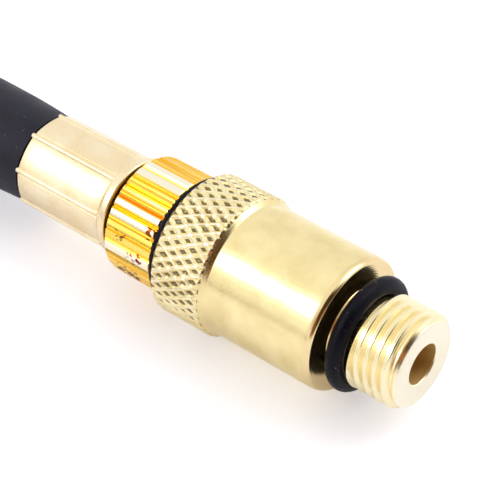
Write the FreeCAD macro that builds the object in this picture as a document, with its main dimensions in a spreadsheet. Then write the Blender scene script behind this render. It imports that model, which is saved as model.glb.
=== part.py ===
import FreeCAD, Part
import math
import os
import re

import Sketcher
from FreeCAD import Placement, Rotation, Vector

# Compression tester hose with a screw-on thread adapter, in millimetres.
#
# The axis of the fittings is X, and the thread that goes into the engine points along +X.
# Turned pieces are drawn by stations along the axis, counted backwards from the thread's
# end face, so station 0 is that face and a larger station lies nearer the hose. Z is up.
# The origin is on the axis at the last crest of the tip thread, next to the shoulder.

SHEET = {
    # tip thread M12 x 1.25 and its neck
    "tip_ahead": 5.58,
    "tip_face_radius": 5.32,
    "tip_radius": 6.0,
    "tip_root_radius": 5.66,
    "pitch": 1.25,
    "first_crest": 1.45,
    "crest_half": 0.38,
    "root_half": 0.05,
    "neck_start": 6.2,
    "neck_radius": 5.05,
    "gas_bore_radius": 2.6,
    # adapter
    "shoulder": 9.78,
    "shoulder_radius": 8.06,
    "barrel_start": 10.58,
    "barrel_radius": 8.43,
    "barrel_end": 24.98,
    "grip_step": 25.66,
    "grip_edge_radius": 8.8,
    "grip_radius": 9.14,
    "grip_bevel": 0.34,
    "adapter_end": 32.99,
    "socket_radius": 7.03,
    "socket_floor": 21.3,
    # O-rings
    "tip_ring_station": 7.67,
    "tip_ring_radius": 6.2,
    "tip_ring_section": 1.1,
    "rear_ring_inner": 6.06,
    "rear_ring_outer": 7.9,
    "ring_gap": 0.03,
    # hose end fitting: M14 x 1.25 nose, ribbed collar, barbed tail
    "nose_start": 21.9,
    "nose_radius": 6.95,
    "nose_root_radius": 6.18,
    "nose_crest_half": 0.15,
    "nose_first_crest": 23.1,
    "nose_neck_start": 31.2,
    "nose_neck_radius": 5.8,
    "collar_start": 34.2,
    "collar_radius": 7.7,
    "collar_bevel": 0.3,
    "collar_back": 41.3,
    "collar_end": 42.57,
    "collar_end_radius": 6.23,
    "rib_depth": 0.28,
    "groove_radius": 3.9,
    "groove_end": 43.65,
    "flange_radius": 4.3,
    "flange_end": 44.3,
    "tail_radius": 3.2,
    "barb_radius": 3.45,
    "barb_pitch": 3.4,
    "tail_end": 56.5,
    "tail_bore_radius": 1.6,
    # check valve core
    "core_bore_radius": 2.6,
    "core_seat": 28.9,
    "core_seat_end": 29.7,
    "core_room_radius": 2.25,
    "core_top": 22.7,
    "core_plug_end": 27.1,
    "core_plug_radius": 2.55,
    "core_barrel_end": 35.3,
    "core_barrel_radius": 2.0,
    "core_spring_room": 1.35,
    "core_ledge": 34.3,
    "pin_start": 22.3,
    "pin_end": 37.5,
    "pin_radius": 0.45,
    "pin_clearance": 0.1,
    "spring_start": 28.15,
    "spring_end": 34.25,
    "spring_radius": 0.95,
    "spring_wire": 0.14,
    "spring_turns": 7,
    # crimped ferrule
    "ferrule_start": 42.8,
    "ferrule_lip_radius": 3.95,
    "ferrule_lip_end": 43.6,
    "ferrule_collar_radius": 6.47,
    "ferrule_collar_end": 43.8,
    "ferrule_radius": 5.87,
    "ferrule_ridge_radius": 6.02,
    "ferrule_ridge_width": 0.84,
    "ferrule_ridge_end": 58.35,
    "ferrule_mouth": 58.05,
    "ferrule_inner_radius": 5.4,
    # hose
    "hose_start": 44.35,
    "hose_radius": 6.4,
    "braid_radius": 4.5,
    "liner_radius": 3.8,
    "hose_bore_radius": 3.0,
    "gripped_braid_radius": 4.35,
    "gripped_liner_radius": 3.9,
    "gripped_bore_radius": 3.25,
    # far end
    "rear_ahead": -16.95,
    "rear_side": -149.0,
    "rear_height": -2.6,
    "rear_hex_flats": 13.0,
    "rear_hex_start": 34.5,
    "rear_hex_end": 42.3,
    "rear_body_radius": 6.4,
    "rear_body_start": 34.3,
    "rear_socket_radius": 4.8,
    "rear_socket_floor": 41.0,
    "washer_start": 33.3,
    "washer_inner_radius": 4.85,
    "washer_radius": 6.3,
    "plug_tip": 6.8,
    "plug_tip_radius": 4.4,
    "plug_body_radius": 5.95,
    "plug_groove_radius": 3.7,
    "plug_waist_radius": 4.6,
    "plug_hex_start": 27.3,
    "plug_thread_radius": 4.75,
    "plug_thread_end": 40.3,
    "plug_bore_radius": 2.0,
}

TIP_CRESTS = 4
NOSE_CRESTS = 7
COLLAR_RIBS = 32
CRIMPS = 8
BARBS = 3
RIB_HALF_ANGLE = 40.0

# The line of the hose from the front ferrule's mouth to the rear ferrule's mouth. It leaves
# straight, comes down to the surface that the fittings lie on, and turns back in one bend.
ROUTE = [
    (-52.47, 0.0, 0.0),
    (-60.0, 0.0, 0.0),
    (-86.0, -0.4, -0.6),
    (-126.0, -3.4, -2.7),
    (-163.5, -29.5, -2.74),
    (-179.5, -72.5, -2.74),
    (-167.5, -115.5, -2.74),
    (-133.5, -143.0, -2.74),
    (-97.0, -149.0, -2.66),
    (-75.0, -149.0, -2.6),
]

doc = FreeCAD.newDocument("compression_hose")
sheet = doc.addObject("Spreadsheet::Sheet", "Dims")
built = []


def fill_sheet():
    for row, (alias, size) in enumerate(SHEET.items(), start=1):
        sheet.set(f"A{row}", alias)
        sheet.set(f"B{row}", str(size))
        sheet.setAlias(f"B{row}", alias)
    doc.recompute()


def bound(text):
    """The sheet's own form of a size written with aliases."""
    return re.sub(r"[a-z][a-z_]+", r"Dims.\g<0>", text)


def size(text):
    """The number that a size written with aliases stands for."""
    return float(sheet.evalExpression(re.sub(r"[a-z][a-z_]+", r".\g<0>", text)))


def origin_feature(body, role):
    return next(f for f in body.Origin.OriginFeatures if f.Role == role)


def new_body(label):
    body = doc.addObject("PartDesign::Body", label)
    body.Label = label
    built.append(body)
    return body


def place(body, rear=False):
    """Turns stations backwards along the axis and puts a body at the front or the far end."""
    body.Placement = Placement(Vector(), Rotation(Vector(0, 0, 1), 180))
    if rear:
        body.setExpression("Placement.Base.x", bound("rear_ahead"))
        body.setExpression("Placement.Base.y", bound("rear_side"))
        body.setExpression("Placement.Base.z", bound("rear_height"))
    else:
        body.setExpression("Placement.Base.x", bound("tip_ahead"))


def outline(body, name, corners):
    """A closed outline of straight lines through (station, radius) corners."""
    sketch = body.newObject("Sketcher::SketchObject", name)
    sketch.AttachmentSupport = [(origin_feature(body, "XY_Plane"), "")]
    sketch.MapMode = "FlatFace"
    points = [Vector(size(station), size(radius), 0) for station, radius in corners]
    count = len(points)
    lines = [Part.LineSegment(points[i], points[(i + 1) % count]) for i in range(count)]
    sketch.addGeometry(lines, False)
    rules = [Sketcher.Constraint("Coincident", i, 2, (i + 1) % count, 1) for i in range(count)]
    bindings = []
    for i, (station, radius) in enumerate(corners):
        for kind, axis, text, at in (
            ("DistanceX", -2, station, points[i].x),
            ("DistanceY", -1, radius, points[i].y),
        ):
            if at == 0:
                rules.append(Sketcher.Constraint("PointOnObject", i, 1, axis))
            else:
                bindings.append((len(rules), text))
                rules.append(Sketcher.Constraint(kind, -1, 1, i, 1, at))
    sketch.addConstraint(rules)
    for number, text in bindings:
        sketch.setExpression(f"Constraints[{number}]", bound(text))
    return sketch


def turn(body, name, corners):
    feature = body.newObject("PartDesign::Revolution", name)
    feature.Profile = outline(body, name + "Outline", corners)
    feature.ReferenceAxis = (feature.Profile[0], ["H_Axis"])
    feature.Angle = 360
    doc.recompute()
    return feature


def bore(body, name, corners):
    """Cuts a turned hole and makes sure that it removes metal."""
    before = body.Shape.Volume
    feature = body.newObject("PartDesign::Groove", name)
    feature.Profile = outline(body, name + "Outline", corners)
    feature.ReferenceAxis = (feature.Profile[0], ["H_Axis"])
    feature.Angle = 360
    doc.recompute()
    if body.Shape.Volume > before - 1e-3:
        raise RuntimeError(f"{name} cuts nothing")


def turned(label, corners, hole=None, rear=False):
    body = new_body(label)
    turn(body, label + "Turning", corners)
    if hole:
        bore(body, label + "Bore", hole)
    place(body, rear)
    return body


def ring(label, start, end, inner, outer, rear=False):
    corners = [(start, inner), (start, outer), (end, outer), (end, inner)]
    return turned(label, corners, rear=rear)


def crests(first, count, top, root, half):
    """Corners of a thread's crests and roots, as rings at the thread's pitch."""
    corners = []
    for k in range(count):
        centre = f"{first} + {k} * pitch"
        corners.append((f"{centre} - pitch / 2 - root_half", root))
        corners.append((f"{centre} - pitch / 2 + root_half", root))
        corners.append((f"{centre} - {half}", top))
        corners.append((f"{centre} + {half}", top))
    corners.append((f"{first} + {count - 1} * pitch + pitch / 2", root))
    return corners


def barbs():
    """Corners of the tail that the hose is pushed on: each barb slopes towards the hose."""
    corners = []
    for k in range(BARBS):
        at = f"flange_end + {k + 1} * barb_pitch"
        corners.append((f"{at} - 2", "tail_radius"))
        corners.append((f"{at} - 2", "barb_radius"))
        corners.append((at, "tail_radius"))
    return corners


def tail_corners(front_radius):
    """Neck groove for the ferrule's lip, flange and barbed tail, from the groove backwards."""
    return [
        ("collar_end", front_radius),
        ("collar_end", "groove_radius"),
        ("groove_end", "groove_radius"),
        ("groove_end", "flange_radius"),
        ("flange_end", "flange_radius"),
        ("flange_end", "tail_radius"),
        *barbs(),
        ("tail_end - 0.8", "tail_radius"),
        ("tail_end", "tail_radius - 0.5"),
        ("tail_end", "0"),
    ]


def thread_adapter():
    outside = [
        ("0", "0"),
        ("0", "tip_face_radius"),
        ("first_crest - pitch + crest_half", "tip_radius - 0.25"),
        *crests("first_crest", TIP_CRESTS, "tip_radius", "tip_root_radius", "crest_half"),
        ("neck_start", "neck_radius"),
        ("shoulder", "neck_radius"),
        ("shoulder", "shoulder_radius"),
        ("barrel_start", "barrel_radius"),
        ("barrel_end", "barrel_radius"),
        ("grip_step", "grip_edge_radius"),
        ("grip_step + grip_bevel", "grip_radius"),
        ("adapter_end - grip_bevel", "grip_radius"),
        ("adapter_end", "grip_edge_radius"),
        ("adapter_end", "0"),
    ]
    inside = [
        ("0", "0"),
        ("0", "gas_bore_radius + 0.1"),
        ("0.1", "gas_bore_radius"),
        ("socket_floor", "gas_bore_radius"),
        ("socket_floor", "socket_radius"),
        ("adapter_end - 0.25", "socket_radius"),
        ("adapter_end", "socket_radius + 0.25"),
        ("adapter_end", "0"),
    ]
    return turned("thread_adapter", outside, inside)


def tip_o_ring():
    torus = doc.addObject("Part::Torus", "tip_o_ring")
    torus.Label = "tip_o_ring"
    torus.setExpression("Radius1", bound("tip_ring_radius"))
    torus.setExpression("Radius2", bound("tip_ring_section"))
    torus.Placement = Placement(Vector(), Rotation(Vector(0, 1, 0), 90))
    torus.setExpression("Placement.Base.x", bound("tip_ahead") + " - " + bound("tip_ring_station"))
    built.append(torus)


def fitting_o_ring():
    front = "adapter_end + ring_gap"
    back = "collar_start - ring_gap"
    corners = [
        (front, "rear_ring_inner + 0.3"),
        (front, "rear_ring_outer - 0.3"),
        (front + " + 0.3", "rear_ring_outer"),
        (back + " - 0.3", "rear_ring_outer"),
        (back, "rear_ring_outer - 0.3"),
        (back, "rear_ring_inner + 0.3"),
        (back + " - 0.3", "rear_ring_inner"),
        (front + " + 0.3", "rear_ring_inner"),
    ]
    turned("fitting_o_ring", corners)


def hose_end_fitting():
    outside = [
        ("nose_start", "0"),
        ("nose_start", "nose_root_radius"),
        *crests("nose_first_crest", NOSE_CRESTS, "nose_radius", "nose_root_radius", "nose_crest_half"),
        ("nose_neck_start", "nose_neck_radius"),
        ("collar_start", "nose_neck_radius"),
        ("collar_start", "collar_radius - collar_bevel"),
        ("collar_start + collar_bevel", "collar_radius"),
        ("collar_back", "collar_radius"),
        *tail_corners("collar_end_radius"),
    ]
    inside = [
        ("nose_start", "0"),
        ("nose_start", "core_bore_radius"),
        ("core_seat", "core_bore_radius"),
        ("core_seat_end", "core_room_radius"),
        ("collar_end", "core_room_radius"),
        ("collar_end + 0.7", "tail_bore_radius"),
        ("tail_end", "tail_bore_radius"),
        ("tail_end", "0"),
    ]
    body = turned("hose_end_fitting", outside, inside)
    rib_grooves(body)


def rib_grooves(body):
    """Straight grooves round the collar leave the ribs that fingers grip."""
    before = body.Shape.Volume
    sketch = body.newObject("Sketcher::SketchObject", "RibGroove")
    sketch.AttachmentSupport = [(origin_feature(body, "YZ_Plane"), "")]
    sketch.MapMode = "FlatFace"
    sketch.setExpression("AttachmentOffset.Base.z", bound("collar_start"))
    top = size("collar_radius") + 0.1
    low = size("collar_radius - rib_depth")
    half = (top - low) * math.tan(math.radians(RIB_HALF_ANGLE))
    points = [Vector(0, low, 0), Vector(half, top, 0), Vector(-half, top, 0)]
    sketch.addGeometry([Part.LineSegment(points[i], points[(i + 1) % 3]) for i in range(3)], False)
    sketch.addConstraint([Sketcher.Constraint("Coincident", i, 2, (i + 1) % 3, 1) for i in range(3)])
    doc.recompute()
    pocket = body.newObject("PartDesign::Pocket", "RibPocket")
    pocket.Profile = sketch
    pocket.Reversed = True
    pocket.setExpression("Length", bound("collar_end - collar_start"))
    doc.recompute()
    pattern = body.newObject("PartDesign::PolarPattern", "Ribs")
    pattern.Originals = [pocket]
    pattern.Axis = (origin_feature(body, "X_Axis"), [""])
    pattern.Angle = 360
    pattern.Occurrences = COLLAR_RIBS
    body.Tip = pattern
    doc.recompute()
    if body.Shape.Volume > before - 1:
        raise RuntimeError("the ribs cut nothing")


def ferrule(label, rear=False):
    """Pressed sleeve: a lip that hooks the fitting, a collar, and a crimped skirt with ridges."""
    outside = [
        ("ferrule_start", "ferrule_lip_radius"),
        ("ferrule_start", "ferrule_collar_radius - 0.2"),
        ("ferrule_start + 0.2", "ferrule_collar_radius"),
        ("ferrule_collar_end", "ferrule_collar_radius"),
        ("ferrule_collar_end + 0.4", "ferrule_radius"),
        ("ferrule_mouth", "ferrule_radius"),
        ("ferrule_mouth", "ferrule_inner_radius"),
        ("ferrule_lip_end", "ferrule_inner_radius"),
        ("ferrule_lip_end", "ferrule_lip_radius"),
    ]
    body = turned(label, outside, rear=rear)
    before = body.Shape.Volume
    half = size("ferrule_ridge_width") / 2
    low = size("ferrule_inner_radius") + 0.15
    top = size("ferrule_ridge_radius")
    sketch = body.newObject("Sketcher::SketchObject", label + "Ridge")
    sketch.AttachmentSupport = [(origin_feature(body, "YZ_Plane"), "")]
    sketch.MapMode = "FlatFace"
    sketch.setExpression("AttachmentOffset.Base.z", bound("ferrule_collar_end"))
    points = [Vector(-half, low), Vector(half, low), Vector(half, top), Vector(-half, top)]
    sketch.addGeometry([Part.LineSegment(points[i], points[(i + 1) % 4]) for i in range(4)], False)
    sketch.addConstraint([Sketcher.Constraint("Coincident", i, 2, (i + 1) % 4, 1) for i in range(4)])
    doc.recompute()
    pad = body.newObject("PartDesign::Pad", label + "RidgePad")
    pad.Profile = sketch
    pad.setExpression("Length", bound("ferrule_ridge_end - ferrule_collar_end"))
    doc.recompute()
    pattern = body.newObject("PartDesign::PolarPattern", label + "Ridges")
    pattern.Originals = [pad]
    pattern.Axis = (origin_feature(body, "X_Axis"), [""])
    pattern.Angle = 360
    pattern.Occurrences = CRIMPS
    body.Tip = pattern
    doc.recompute()
    if body.Shape.Volume < before + 1:
        raise RuntimeError("the ridges add nothing")


def valve_core():
    """Check valve: a spring under the pin's collar pulls the cup against the barrel's end."""
    hole = "pin_radius + pin_clearance"
    turned(
        "valve_core_plug",
        [
            ("core_top", hole),
            ("core_top", "1.6"),
            ("core_top + 1.5", "1.6"),
            ("core_top + 1.5", "core_plug_radius - 0.2"),
            ("core_top + 1.7", "core_plug_radius"),
            ("core_plug_end", "core_plug_radius"),
            ("core_plug_end", hole),
        ],
    )
    turned(
        "valve_core_barrel",
        [
            ("core_plug_end", "core_spring_room"),
            ("core_plug_end", "2.3"),
            ("core_plug_end + 1.1", "2.3"),
            ("core_plug_end + 1.1", "core_barrel_radius"),
            ("core_barrel_end", "core_barrel_radius"),
            ("core_barrel_end", hole),
            ("core_ledge", hole),
            ("core_ledge", "core_spring_room"),
        ],
    )
    turned(
        "valve_core_gasket",
        [
            ("core_plug_end + 1.15", "core_barrel_radius"),
            ("core_plug_end + 1.15", "core_bore_radius - 0.04"),
            ("core_seat - 0.05", "core_bore_radius - 0.04"),
            ("core_seat_end - 0.1", "core_room_radius - 0.02"),
            ("core_seat_end - 0.1", "core_barrel_radius"),
        ],
    )
    turned(
        "valve_core_pin",
        [
            ("pin_start", "0"),
            ("pin_start", "pin_radius"),
            ("core_plug_end + 0.5", "pin_radius"),
            ("core_plug_end + 0.5", "1.1"),
            ("core_plug_end + 1", "1.1"),
            ("core_plug_end + 1", "pin_radius"),
            ("pin_end", "pin_radius"),
            ("pin_end", "0"),
        ],
    )
    ring("valve_core_cup_gasket", "core_barrel_end + 0.05", "core_barrel_end + 1", "pin_radius", "1.85")
    turned(
        "valve_core_cup",
        [
            ("core_barrel_end + 1", "pin_radius"),
            ("core_barrel_end + 1", "1.88"),
            ("core_barrel_end + 0.45", "1.88"),
            ("core_barrel_end + 0.45", "2.08"),
            ("core_barrel_end + 1.7", "2.08"),
            ("core_barrel_end + 1.9", "1.7"),
            ("core_barrel_end + 1.9", "pin_radius"),
        ],
    )
    valve_spring()


def valve_spring():
    helix = doc.addObject("Part::Helix", "SpringLine")
    helix.setExpression("Radius", bound("spring_radius"))
    helix.setExpression("Height", bound("spring_end - spring_start - 2 * spring_wire"))
    pitch = "(spring_end - spring_start - 2 * spring_wire) / spring_turns"
    helix.setExpression("Pitch", bound(pitch))
    wire = doc.addObject("Part::Circle", "SpringWire")
    wire.setExpression("Radius", bound("spring_wire"))
    wire.Placement = Placement(Vector(size("spring_radius"), 0, 0), Rotation(Vector(1, 0, 0), 90))
    doc.recompute()
    sweep = doc.addObject("Part::Sweep", "valve_core_spring")
    sweep.Label = "valve_core_spring"
    sweep.Sections = [wire]
    sweep.Spine = (helix, [])
    sweep.Solid = True
    sweep.Frenet = True
    sweep.Placement = Placement(Vector(), Rotation(Vector(0, 1, 0), 90))
    sweep.setExpression("Placement.Base.x", bound("tip_ahead - spring_end + spring_wire"))
    built.append(sweep)


def hexagon(body, name, start, end):
    """Spanner hexagon with a flat downwards, so that the far end lies on it."""
    prism = body.newObject("PartDesign::AdditivePrism", name)
    prism.AttachmentSupport = [(origin_feature(body, "YZ_Plane"), "")]
    prism.MapMode = "FlatFace"
    prism.setExpression("AttachmentOffset.Base.z", bound(start))
    prism.Polygon = 6
    prism.setExpression("Circumradius", bound("rear_hex_flats") + " / sqrt(3)")
    prism.setExpression("Height", bound(f"({end}) - ({start})"))
    doc.recompute()


def rear_hose_tail():
    body = new_body("rear_hose_tail")
    outside = [
        ("rear_body_start", "0"),
        ("rear_body_start", "rear_body_radius"),
        *tail_corners("rear_body_radius"),
    ]
    inside = [
        ("rear_body_start", "0"),
        ("rear_body_start", "rear_socket_radius"),
        ("rear_socket_floor", "rear_socket_radius"),
        ("rear_socket_floor", "tail_bore_radius"),
        ("tail_end", "tail_bore_radius"),
        ("tail_end", "0"),
    ]
    turn(body, "RearTailTurning", outside)
    hexagon(body, "RearTailHexagon", "rear_hex_start", "rear_hex_end")
    bore(body, "RearTailBore", inside)
    place(body, rear=True)


def quick_plug():
    """Male quick-connect nipple: sealing tip, locking groove, guide body, waist and hexagon."""
    body = new_body("quick_plug")
    outside = [
        ("plug_tip", "0"),
        ("plug_tip", "plug_tip_radius - 0.6"),
        ("plug_tip + 0.8", "plug_tip_radius"),
        ("plug_tip + 5", "plug_tip_radius"),
        ("plug_tip + 5.7", "plug_groove_radius"),
        ("plug_tip + 8", "plug_groove_radius"),
        ("plug_tip + 9.4", "plug_body_radius"),
        ("plug_tip + 14.6", "plug_body_radius"),
        ("plug_tip + 15.4", "plug_waist_radius"),
        ("plug_tip + 18.6", "plug_waist_radius"),
        ("plug_tip + 19.2", "plug_body_radius"),
        ("plug_hex_start", "plug_body_radius"),
        ("plug_hex_start", "rear_body_radius"),
        ("washer_start", "rear_body_radius"),
        ("washer_start", "plug_thread_radius"),
        ("plug_thread_end - 0.5", "plug_thread_radius"),
        ("plug_thread_end", "plug_thread_radius - 0.5"),
        ("plug_thread_end", "0"),
    ]
    inside = [
        ("plug_tip", "0"),
        ("plug_tip", "plug_bore_radius"),
        ("plug_thread_end", "plug_bore_radius"),
        ("plug_thread_end", "0"),
    ]
    turn(body, "QuickPlugTurning", outside)
    hexagon(body, "QuickPlugHexagon", "plug_hex_start + 0.2", "washer_start - 0.2")
    bore(body, "QuickPlugBore", inside)
    place(body, rear=True)


def hose_path():
    """Straight runs joined by arcs that touch them; each arc is as large as its runs allow."""
    points = [Vector(*p) for p in ROUTE]
    edges = []
    at = points[0]
    for i in range(1, len(points) - 1):
        back = points[i - 1] - points[i]
        ahead = points[i + 1] - points[i]
        reach = 0.45 * min(back.Length, ahead.Length)
        half_turn = (math.pi - back.getAngle(ahead)) / 2
        radius = reach / math.tan(half_turn)
        print(f"bend {i}: turn {math.degrees(2 * half_turn):.1f} deg, radius {radius:.1f} mm")
        first = points[i] + back.normalize() * reach
        last = points[i] + ahead.normalize() * reach
        inward = (back + ahead).normalize()
        middle = points[i] + inward * (radius / math.cos(half_turn) - radius)
        edges.append(Part.LineSegment(at, first).toShape())
        edges.append(Part.Arc(first, middle, last).toShape())
        at = last
    edges.append(Part.LineSegment(at, points[-1]).toShape())
    return Part.Wire(edges)


def tube(path, outer, inner):
    start = path.OrderedVertexes[0].Point
    direction = Vector(*ROUTE[1]) - Vector(*ROUTE[0])
    solids = []
    for radius in (outer, inner):
        circle = Part.Wire([Part.makeCircle(radius, start, direction)])
        solids.append(path.makePipeShell([circle], True, False))
    hollow = solids[0].cut(solids[1])
    wanted = math.pi * (outer**2 - inner**2) * path.Length
    print(f"tube {outer:.2f}/{inner:.2f}: volume {hollow.Volume:.1f}, section x length {wanted:.1f} mm3")
    return hollow


def sleeve(mouth, length, outer, inner):
    """The stretch of a hose layer that a ferrule grips, from the ferrule's mouth inwards."""
    end = Vector(*mouth)
    axis = Vector(1, 0, 0)
    return Part.makeCylinder(outer, length, end, axis).cut(Part.makeCylinder(inner, length, end, axis))


def hose_layer(label, path, free, gripped):
    """One concentric layer of the hose, with its squeezed end inside each ferrule."""
    length = size("ferrule_mouth - hose_start")
    shape = tube(path, *free)
    for mouth in (ROUTE[0], ROUTE[-1]):
        shape = shape.fuse(sleeve(mouth, length, *gripped))
    layer = doc.addObject("Part::Feature", label)
    layer.Label = label
    layer.Shape = shape.removeSplitter().Solids[0]
    layer.Placement = Placement()
    built.append(layer)


def hose():
    path = hose_path()
    print(f"hose between the ferrules: {path.Length:.1f} mm")
    print(f"whole hose: {path.Length + 2 * size('ferrule_mouth - hose_start'):.1f} mm")
    cover = (size("hose_radius"), size("braid_radius"))
    braid = (size("braid_radius"), size("liner_radius"))
    liner = (size("liner_radius"), size("hose_bore_radius"))
    gripped = [
        size(name)
        for name in (
            "ferrule_inner_radius",
            "gripped_braid_radius",
            "gripped_liner_radius",
            "gripped_bore_radius",
        )
    ]
    hose_layer("hose_cover", path, cover, (gripped[0], gripped[1]))
    hose_layer("hose_braid", path, braid, (gripped[1], gripped[2]))
    hose_layer("hose_liner", path, liner, (gripped[2], gripped[3]))


def check():
    for item in doc.Objects:
        if "Invalid" in item.State or "Error" in item.State:
            raise RuntimeError(f"{item.Name} failed: {item.State}")
    for item in built:
        shape = item.Shape
        if shape.isNull() or not shape.isValid() or len(shape.Solids) != 1:
            raise RuntimeError(f"{item.Label} is not one valid solid")


def write():
    os.makedirs("parts", exist_ok=True)
    for item in built:
        item.Shape.exportStep(f"parts/{item.Label}.step")
        print(f"{item.Label}: {item.Shape.Volume:.1f} mm3")


fill_sheet()
thread_adapter()
tip_o_ring()
fitting_o_ring()
hose_end_fitting()
valve_core()
ferrule("front_ferrule")
hose()
ferrule("rear_ferrule", rear=True)
rear_hose_tail()
ring("plug_washer", "washer_start", "rear_body_start", "washer_inner_radius", "washer_radius", rear=True)
quick_plug()
doc.recompute()
check()
write()
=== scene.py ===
import math
import random

import bmesh
import bpy
from mathutils import Matrix, Vector


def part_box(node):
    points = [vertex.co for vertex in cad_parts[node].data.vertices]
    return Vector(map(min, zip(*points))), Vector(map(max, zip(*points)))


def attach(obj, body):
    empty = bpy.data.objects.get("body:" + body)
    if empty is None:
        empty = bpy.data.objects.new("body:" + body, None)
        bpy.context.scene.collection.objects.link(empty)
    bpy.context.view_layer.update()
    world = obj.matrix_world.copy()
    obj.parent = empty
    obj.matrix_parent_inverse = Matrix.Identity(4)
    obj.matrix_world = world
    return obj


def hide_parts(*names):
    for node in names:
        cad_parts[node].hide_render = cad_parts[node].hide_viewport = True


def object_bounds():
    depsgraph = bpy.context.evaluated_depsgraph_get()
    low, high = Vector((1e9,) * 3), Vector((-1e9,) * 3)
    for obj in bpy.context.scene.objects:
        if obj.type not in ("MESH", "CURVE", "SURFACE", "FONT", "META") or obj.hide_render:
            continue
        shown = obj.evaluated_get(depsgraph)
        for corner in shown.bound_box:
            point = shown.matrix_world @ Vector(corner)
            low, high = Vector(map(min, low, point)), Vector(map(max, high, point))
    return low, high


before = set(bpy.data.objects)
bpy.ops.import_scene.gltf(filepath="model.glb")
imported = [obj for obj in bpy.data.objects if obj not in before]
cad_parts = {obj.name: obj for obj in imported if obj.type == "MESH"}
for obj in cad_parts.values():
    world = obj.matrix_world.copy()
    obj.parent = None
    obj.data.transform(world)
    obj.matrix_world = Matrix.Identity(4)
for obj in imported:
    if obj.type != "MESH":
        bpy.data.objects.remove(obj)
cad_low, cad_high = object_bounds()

# Camera. It looks down at the threaded end from the front right, about 0.2 m away. Its lens
# is long, so the sides of the fittings stay nearly parallel.
MM = 0.001
tip_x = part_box("thread_adapter")[1].x
CAMERA_AZIMUTH = math.radians(40.05)
CAMERA_ELEVATION = math.radians(40.07)
CAMERA_BACK = 208.5 * MM
CAMERA_LEFT = 19.21 * MM
CAMERA_RISE = 12.73 * MM
level = math.cos(CAMERA_ELEVATION)
drop = math.sin(CAMERA_ELEVATION)
ahead = Vector((-math.sin(CAMERA_AZIMUTH) * level, math.cos(CAMERA_AZIMUTH) * level, -drop))
right = Vector((math.cos(CAMERA_AZIMUTH), math.sin(CAMERA_AZIMUTH), 0))
upward = right.cross(ahead)
camera = bpy.data.objects.new("camera", bpy.data.cameras.new("camera"))
camera.data.sensor_width = 36
camera.data.lens = 135.27
camera.data.clip_start = 0.01
camera.data.clip_end = 10
camera.location = Vector((tip_x, 0, 0)) - ahead * CAMERA_BACK - right * CAMERA_LEFT + upward * CAMERA_RISE
camera.rotation_euler = ahead.to_track_quat("-Z", "Y").to_euler()
bpy.context.scene.collection.objects.link(camera)
bpy.context.scene.camera = camera

# Pressure hose. A moulded black rubber cover, 12.8 mm over, with a powdery skin. It is stiff:
# it leaves the ferrule straight, settles on the table and turns back in one wide bend.
# Its skin is necked a little where the two ferrules grip it, and swells just behind the first.
ROUTE = [
    (-52.47, 0.0, 0.0),
    (-60.0, 0.0, 0.0),
    (-86.0, -0.4, -0.6),
    (-126.0, -3.4, -2.7),
    (-163.5, -29.5, -2.74),
    (-179.5, -72.5, -2.74),
    (-167.5, -115.5, -2.74),
    (-133.5, -143.0, -2.74),
    (-97.0, -149.0, -2.66),
    (-75.0, -149.0, -2.6),
]
HOSE_DIAMETER = 12.8
HOSE_NECKED = 0.93
HOSE_SWOLLEN = 1.03
HOSE_BLACK = (0.009, 0.009, 0.017)
HOSE_DUST = (0.10, 0.10, 0.13)


def shader(name):
    """A new material with its Principled shader, and the nodes and links to build on."""
    made = bpy.data.materials.new(name)
    made.use_nodes = True
    nodes = made.node_tree.nodes
    return made, nodes, made.node_tree.links, nodes["Principled BSDF"]


def fine_noise(nodes, links, size_mm, detail=3.0, stretch=(1, 1, 1)):
    """Noise whose grains are about size_mm across, in the piece's own coordinates."""
    where = nodes.new("ShaderNodeTexCoord")
    mapping = nodes.new("ShaderNodeMapping")
    mapping.inputs["Scale"].default_value = stretch
    grain = nodes.new("ShaderNodeTexNoise")
    grain.inputs["Scale"].default_value = 1 / (size_mm * MM)
    grain.inputs["Detail"].default_value = detail
    links.new(where.outputs["Object"], mapping.inputs["Vector"])
    links.new(mapping.outputs["Vector"], grain.inputs["Vector"])
    return grain.outputs["Fac"]


def ramp(nodes, links, source, stops):
    """Colours at places from 0 to 1 along a source value."""
    made = nodes.new("ShaderNodeValToRGB")
    elements = made.color_ramp.elements
    elements[0].position, elements[0].color = stops[0][0], (*stops[0][1], 1)
    elements[1].position, elements[1].color = stops[1][0], (*stops[1][1], 1)
    for place, colour in stops[2:]:
        elements.new(place).color = (*colour, 1)
    links.new(source, made.inputs["Fac"])
    return made.outputs["Color"]


def spread(nodes, links, source, low, high, from_low=0.3, from_high=0.7):
    """Stretches a value between two limits."""
    made = nodes.new("ShaderNodeMapRange")
    made.inputs["From Min"].default_value = from_low
    made.inputs["From Max"].default_value = from_high
    made.inputs["To Min"].default_value = low
    made.inputs["To Max"].default_value = high
    links.new(source, made.inputs["Value"])
    return made.outputs["Result"]


def relief(nodes, links, source, depth_mm, strength, normal=None):
    """A bumped normal, laid over another one if it is given."""
    made = nodes.new("ShaderNodeBump")
    made.inputs["Strength"].default_value = strength
    made.inputs["Distance"].default_value = depth_mm * MM
    links.new(source, made.inputs["Height"])
    if normal:
        links.new(normal, made.inputs["Normal"])
    return made.outputs["Normal"]


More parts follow.
